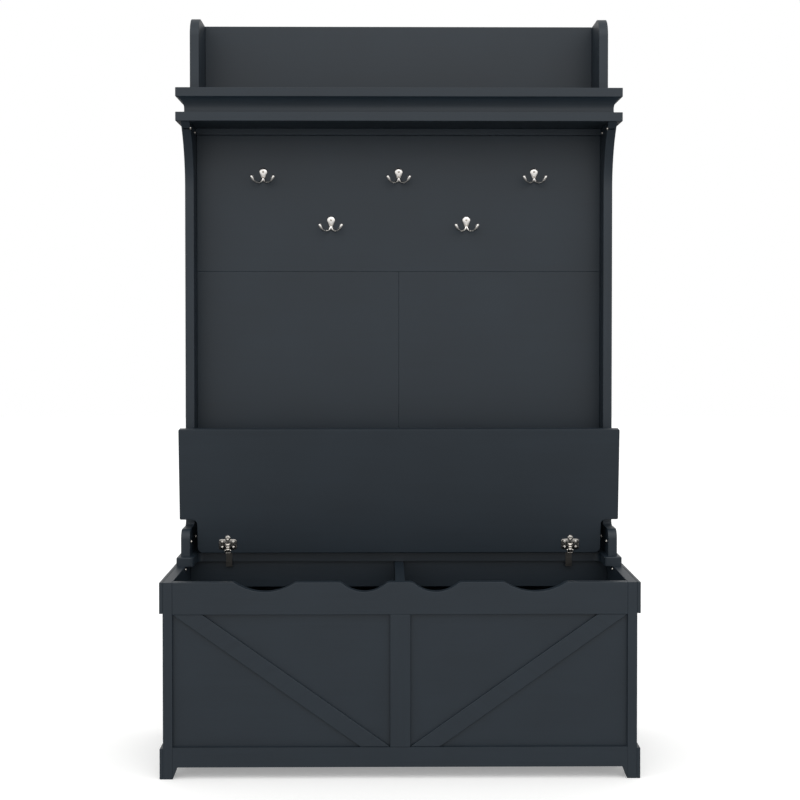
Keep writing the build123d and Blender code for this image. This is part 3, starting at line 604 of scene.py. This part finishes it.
class HALLTREE_OT_stage(bpy.types.Operator):
    """Pale floor, soft lights, white surround and the camera"""

    bl_idname = "halltree.stage"
    bl_label = "Stage"

    def execute(self, context):
        """Set the stage round the CAD box."""
        self.floor(context)
        self.lights(context)
        self.surround(context)
        self.camera(context)
        return {"FINISHED"}

    def floor(self, context):
        """A wide flat floor at the object's lowest point, matt and near white.

        Its faint glow stands for the white light that a bigger tent would throw on it.
        """
        turns = np.array([(-1, -1), (1, -1), (1, 1), (-1, 1)]) * FLOOR_HALF
        corners = np.column_stack([turns, np.full(4, CAD_BOX[0].z)])
        mesh = bpy.data.meshes.new("studio_floor")
        mesh.from_pydata(corners.tolist(), [], [(0, 1, 2, 3)])
        material, tree = new_material("matt_studio_floor")
        place = add_node(tree, "ShaderNodeTexCoord").outputs["Object"]
        mottle = add_node(tree, "ShaderNodeTexNoise", {"Scale": 1.5, "Detail": 2.0},
                          {"Vector": place})
        tint = add_node(tree, "ShaderNodeMix", {"A": linear("EFEFEE"), "B": linear("F4F4F3")},
                        {"Factor": mottle.outputs["Fac"]}, data_type="RGBA")
        shader = add_node(tree, "ShaderNodeBsdfPrincipled",
                          {"Roughness": 0.8, "Emission Color": (1, 1, 1, 1),
                           "Emission Strength": FLOOR_GLOW},
                          {"Base Color": socket(tint, "Result")})
        finish_material(tree, shader)
        mesh.materials.append(material)
        floor = bpy.data.objects.new("studio_floor", mesh)
        floor.visible_glossy = False
        context.scene.collection.objects.link(floor)

    def lights(self, context):
        """One large key, high in front; the tent does the rest."""
        soft_box("key_light", KEY_PLACE, KEY_TARGET, KEY_SIZE, KEY_POWER)

    def surround(self, context):
        """A white tent, brightest above and in front; the bare backdrop is plain white.

        The light from a direction is set by its height and by how far it comes from behind:
        two ramps, multiplied.
        """
        world = bpy.data.worlds.new("white_tent")
        context.scene.world = world
        world.use_nodes = True
        tree = world.node_tree
        tree.nodes.clear()
        toward = add_node(tree, "ShaderNodeTexCoord").outputs["Generated"]
        axes = add_node(tree, "ShaderNodeSeparateXYZ", links={"Vector": toward})
        height = add_node(tree, "ShaderNodeMapRange",
                          {"From Min": TENT_RISE[0], "From Max": TENT_RISE[1],
                           "To Min": TENT_LOW, "To Max": TENT_HIGH},
                          {"Value": axes.outputs["Z"]}, interpolation_type="SMOOTHSTEP")
        behind = add_node(tree, "ShaderNodeMapRange",
                          {"From Min": TENT_DEPTH[0], "From Max": TENT_DEPTH[1],
                           "To Min": 1.0, "To Max": TENT_BEHIND},
                          {"Value": axes.outputs["Y"]}, interpolation_type="SMOOTHSTEP")
        light = add_node(tree, "ShaderNodeMath",
                         links={0: height.outputs[0], 1: behind.outputs[0]}, operation="MULTIPLY")
        tent = add_node(tree, "ShaderNodeBackground", {"Color": (1, 1, 1, 1)},
                        {"Strength": light.outputs[0]})
        backdrop = add_node(tree, "ShaderNodeBackground",
                            {"Color": (1, 1, 1, 1), "Strength": 1.0})
        seen = add_node(tree, "ShaderNodeLightPath").outputs["Is Camera Ray"]
        both = add_node(tree, "ShaderNodeMixShader", links={"Fac": seen, 1: tent.outputs[0],
                                                            2: backdrop.outputs[0]})
        add_node(tree, "ShaderNodeOutputWorld", links={"Surface": both.outputs[0]})
        context.scene.view_settings.view_transform = "Standard"

    def camera(self, context):
        """A long lens at chest height, turned slightly down and to the right."""
        lens = bpy.data.cameras.new("camera")
        lens.lens = CAMERA_LENS
        lens.sensor_width = 36.0
        lens.shift_y = CAMERA_SHIFT
        camera = bpy.data.objects.new("camera", lens)
        camera.location = CAMERA_PLACE
        camera.rotation_euler = (math.radians(90 + CAMERA_PITCH), 0, math.radians(-CAMERA_YAW))
        context.scene.collection.objects.link(camera)
        context.scene.camera = camera


# --- boards -----------------------------------------------------------------------------------

def assign(node, material):
    """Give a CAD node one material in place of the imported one."""
    mesh = frame["nodes"][node].data
    mesh.materials.clear()
    mesh.materials.append(material)


class HALLTREE_OT_boards(bpy.types.Operator):
    """Satin slate paint on every board and moulding"""

    bl_idname = "halltree.boards"
    bl_label = "Painted boards"

    def execute(self, context):
        """Pick the grain direction of each painted node."""
        colour = tuple(context.scene.hall_tree_colours.paint)
        level = (STREAK_LONG, STREAK_WIDE, STREAK_WIDE)
        across = slate_satin_paint("slate_paint_across", colour, level)
        upright = slate_satin_paint("slate_paint_upright", colour,
                                    (STREAK_WIDE, STREAK_WIDE, STREAK_LONG))
        deep = slate_satin_paint("slate_paint_front_to_back", colour,
                                 (STREAK_WIDE, STREAK_LONG, STREAK_WIDE))
        slope = self.brace_slope()
        leaning = {name: slate_satin_paint(f"slate_paint_brace_{name}", colour, level,
                                           (0.0, -side * slope, 0.0)) for name, side in SIDES}
        for part in frame["record"]["subparts"]:
            node = part["node"]
            if part["material_slot"] != "slate_paint":
                continue
            material = across
            if node in UPRIGHT_BOARDS:
                material = upright
            if node in FRONT_TO_BACK_BOARDS:
                material = deep
            if node.startswith("front_brace_"):
                material = leaning[node.removeprefix("front_brace_")]
            assign(node, material)
        return {"FINISHED"}

    def brace_slope(self):
        """Angle of the braces above the floor, from the box of one."""
        low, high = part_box("front_brace_right")
        return math.atan2(high.z - low.z, high.x - low.x)


class HALLTREE_OT_joinery(bpy.types.Operator):
    """Beech dowels inside the joints"""

    bl_idname = "halltree.joinery"
    bl_label = "Hidden joinery"

    def execute(self, context):
        """Give the dowels their wood."""
        beech = plain_beech("plain_beech_dowel")
        for node in DOWEL_NODES:
            assign(node, beech)
        return {"FINISHED"}


# --- hinges and bolts ----------------------------------------------------------------------------

def opened(skins):
    """Turn skins made for the closed lid about the hinge pins to the open place at rest.

    A point keeps its X, and its Y and Z turn round the pins by the whole closing travel.
    """
    joint = next(j for j in frame["joints"] if j["name"] == "lid_hinge")
    pins = np.asarray(joint["pos_m"])
    turn = -math.radians(joint["range_deg"][1])
    spin = np.array([[1, 0, 0], [0, math.cos(turn), -math.sin(turn)],
                     [0, math.sin(turn), math.cos(turn)]])
    return [((points - pins) @ spin.T + pins, quads, fans) for points, quads, fans in skins]


def hinge_middle(name):
    """X of a hinge, the Y of the closed lid's rear edge and the Z of its underside."""
    low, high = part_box(f"fixed_hinge_leaf_{name}")
    return (low.x + high.x) / 2, low.y - LID_REAR_GAP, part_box("box_back")[1].z + LID_LIFT


class HALLTREE_OT_fixed_metal(bpy.types.Operator):
    """Nickel on the fixed hinge leaves, pins and their screws, darkened in colour as painted shade"""

    bl_idname = "halltree.fixed_metal"
    bl_label = "Fixed hinge parts"

    def execute(self, context):
        """Give the CAD metal its plating, a nickel whose colour is darkened to grey as painted shade."""
        # Painted shade: the nickel colour is darkened to grey to stand for the shade these parts sit in.
        finish = plated_nickel("nickel_darkened_for_shade", linear("5A5855"), 0.32, 6)
        for node in METAL_NODES:
            assign(node, finish)
        return {"FINISHED"}


class HALLTREE_OT_lid_plates(bpy.types.Operator):
    """Winged hinge plates under the lid, with their links, straps and knuckles"""

    bl_idname = "halltree.lid_plates"
    bl_label = "Lid hinge plates"

    def execute(self, context):
        """Make one plate for each hinge, closed, and turn it open."""
        sizes = context.scene.hall_tree_sizes
        colour = tuple(context.scene.hall_tree_colours.hinges)
        finish = plated_nickel("bright_nickel_hinge", colour, 0.20, 6)
        for name, _ in SIDES:
            x, rear, under = hinge_middle(name)
            skins = [self.wings(sizes, x, rear, under)] + self.link(x, rear, under)
            skins += self.strap(name, x, rear, under)
            make_piece(f"winged_lid_plate_{name}", opened(skins), finish, "lid",
                       [f"lid_hinge_plate_{name}"])
        return {"FINISHED"}

    def wings(self, sizes, x, rear, under):
        """The plate: a soft-cornered rectangle with a round nose ahead of it."""
        angle = np.linspace(0, 2 * math.pi, 240, endpoint=False)
        body = superellipse(sizes.wing_span / 2, PLATE_HALF_DEEP, 6, angle)
        nose = disc_reach(NOSE_REACH - PLATE_REACH, NOSE_RADIUS, -angle)
        return pressed_plate((x, rear - PLATE_REACH, under), np.maximum(body, nose), PLATE_T,
                             PLATE_EASE)

    def link(self, x, rear, under):
        """Three rollers between two cheeks, standing down the middle of the plate."""
        face = under - PLATE_T
        skins = [barrel((x, rear - reach, face - ROLLER_DROP), ROLLER_RADIUS, ROLLER_HALF, 0.9 * MM)
                 for reach in ROLLER_REACHES]
        ahead, behind = CHEEK_REACHES
        for _, side in SIDES:
            cheek = x + side * CHEEK_OUT
            skins.append(soft_bar((cheek - CHEEK_HALF, rear - ahead, face - CHEEK_DROP),
                                  (cheek + CHEEK_HALF, rear - behind, face + 0.5 * MM), 1,
                                  0.5 * MM))
        return skins

    def strap(self, name, x, rear, under):
        """The strap up the lid's rear edge, and the two outer knuckles round the pin."""
        pin_low, pin_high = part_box(f"hinge_pin_{name}")
        pin_y, pin_z = (pin_low.y + pin_high.y) / 2, (pin_low.z + pin_high.z) / 2
        half = (pin_high.x - pin_low.x) / 2
        back = pin_y - STRAP_GAP
        front, foot = back - PLATE_T, under - PLATE_T
        skins = [soft_bar((x - half, front, foot), (x + half, back, pin_z - 3.2 * MM), 2, 0.3 * MM),
                 soft_bar((x - half, rear - FLANGE_REACH, foot), (x + half, back, under - 0.1 * MM),
                          0, 0.3 * MM)]
        reach = (half - KNUCKLE_INNER) / 2
        for _, side in SIDES:
            centre = x + side * (KNUCKLE_INNER + reach)
            skins.append(soft_bar((centre - reach, front, pin_z - 3.6 * MM),
                                  (centre + reach, back, pin_z), 2, 0.2 * MM))
            skins.append(barrel((centre, pin_y, pin_z), KNUCKLE_RADIUS, reach, 0.35 * MM))
        return skins


class HALLTREE_OT_lid_plate_screws(bpy.types.Operator):
    """Four cross-head screws and a ringed rivet in each lid plate"""

    bl_idname = "halltree.lid_plate_screws"
    bl_label = "Lid plate screws"

    def execute(self, context):
        """Make all heads as one piece for the CAD group of screws."""
        finish = plated_nickel("bright_nickel_pan_head", linear("E2DED8"), 0.18, 4)
        skins = []
        for name, _ in SIDES:
            x, rear, under = hinge_middle(name)
            face = under - PLATE_T
            for _, side in SIDES:
                for reach in PLATE_SCREW_REACHES:
                    place = (x + side * PLATE_SCREWS_OUT, rear - reach, face)
                    skins.append(domed_head(place, (0, 0, -1), 2.7 * MM, 1.5 * MM, 0.8 * MM))
            skins.append(self.rivet((x, rear - NOSE_REACH, face)))
        make_piece("lid_plate_screw_heads", opened(skins), finish, "lid",
                   ["lid_hinge_screws"])
        return {"FINISHED"}

    def rivet(self, place):
        """A ring-shaped rivet: a half-round rim about a sunk middle."""
        turn = np.linspace(0, math.pi, 12)
        radii = np.concatenate([[4.6], 3.2 + 1.4 * np.cos(turn), [1.4]]) * MM
        heights = np.concatenate([[-0.6], 1.3 * np.sin(turn), [-0.5]]) * MM
        return turned(place, (0, 0, -1), radii, heights, around=48)


class HALLTREE_OT_cabinet_bolts(bpy.types.Operator):
    """Domed socket bolts that hold the hutch to its seat ears and cornice"""

    bl_idname = "halltree.cabinet_bolts"
    bl_label = "Cabinet bolts"

    def execute(self, context):
        """Make the heads of each CAD group of bolts, on the inner faces of the sides."""
        finish = plated_nickel("bright_nickel_socket_bolt", linear("D9D4CC"), 0.20, 4)
        for node, board, spots in BOLT_GROUPS:
            skins = []
            for name, side in SIDES:
                low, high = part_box(f"{board}_{name}")
                face = low.x if side > 0 else high.x
                for y, z in spots:
                    skins.append(socket_head((face, y * MM, z * MM), (-side, 0, 0), BOLT_RADIUS,
                                             BOLT_HEIGHT, 1 * MM))
            make_piece(node.replace("bolts", "bolt_heads"), skins, finish, "cabinet",
                       [node])
        return {"FINISHED"}


# --- add-on ---------------------------------------------------------------------------------------

class HallTreeSizes(bpy.types.PropertyGroup):
    """Sizes of the small metalwork"""

    hook_head: FloatProperty(name="Hook head", description="Radius of the hook plate's round head",
                             default=9.4 * MM, unit="LENGTH")
    hook_waist: FloatProperty(name="Hook waist", description="Half width of the plate's waist",
                              default=4.3 * MM, unit="LENGTH")
    hook_drop: FloatProperty(name="Hook drop",
                             description="Height of the hook above its centre, less half its head",
                             default=15.3 * MM, unit="LENGTH")
    wing_span: FloatProperty(name="Hinge wings", description="Width of the lid hinge plates",
                             default=40 * MM, unit="LENGTH")
    hook_thick: FloatProperty(name="Hook plate", description="Thickness of the plate at its crown",
                              default=4.2 * MM, unit="LENGTH")


class HallTreeColours(bpy.types.PropertyGroup):
    """Colours a user would change"""

    paint: FloatVectorProperty(name="Paint", description="Satin paint of all boards", size=4,
                               subtype="COLOR", min=0, max=1, default=linear("17222B"))
    hooks: FloatVectorProperty(name="Hooks", description="Satin nickel of the coat hooks", size=4,
                               subtype="COLOR", min=0, max=1, default=linear("EDEAE6"))
    hinges: FloatVectorProperty(name="Hinges", description="Bright nickel of hinges and screws",
                                size=4, subtype="COLOR", min=0, max=1, default=linear("E4DFD8"))


OPERATORS = (HALLTREE_OT_stage, HALLTREE_OT_boards, HALLTREE_OT_joinery, HALLTREE_OT_fixed_metal,
             HALLTREE_OT_lid_plates, HALLTREE_OT_lid_plate_screws, HALLTREE_OT_cabinet_bolts,
             HALLTREE_OT_coat_hooks, HALLTREE_OT_hook_screws)


class HALLTREE_PT_panel(bpy.types.Panel):
    """Lists the pieces of the hall tree"""

    bl_idname = "HALLTREE_PT_panel"
    bl_label = "Hall Tree"
    bl_space_type = "VIEW_3D"
    bl_region_type = "UI"
    bl_category = "Hall Tree"

    def draw(self, context):
        """Settings first, then one button for each operator."""
        for group in (context.scene.hall_tree_sizes, context.scene.hall_tree_colours):
            for key in group.__annotations__:
                self.layout.prop(group, key)
        for operator in OPERATORS:
            self.layout.operator(operator.bl_idname)


CLASSES = (HallTreeSizes, HallTreeColours, *OPERATORS, HALLTREE_PT_panel)


def register():
    """Register the classes and hang the settings on the scene."""
    for cls in CLASSES:
        bpy.utils.register_class(cls)
    bpy.types.Scene.hall_tree_sizes = PointerProperty(type=HallTreeSizes)
    bpy.types.Scene.hall_tree_colours = PointerProperty(type=HallTreeColours)


def unregister():
    """Take the settings and classes away again."""
    del bpy.types.Scene.hall_tree_colours
    del bpy.types.Scene.hall_tree_sizes
    for cls in reversed(CLASSES):
        bpy.utils.unregister_class(cls)


def main():
    """Run every operator in order."""
    register()
    for operator in OPERATORS:
        group, action = operator.bl_idname.split(".")
        getattr(getattr(bpy.ops, group), action)()


if __name__ == "__main__":
    main()
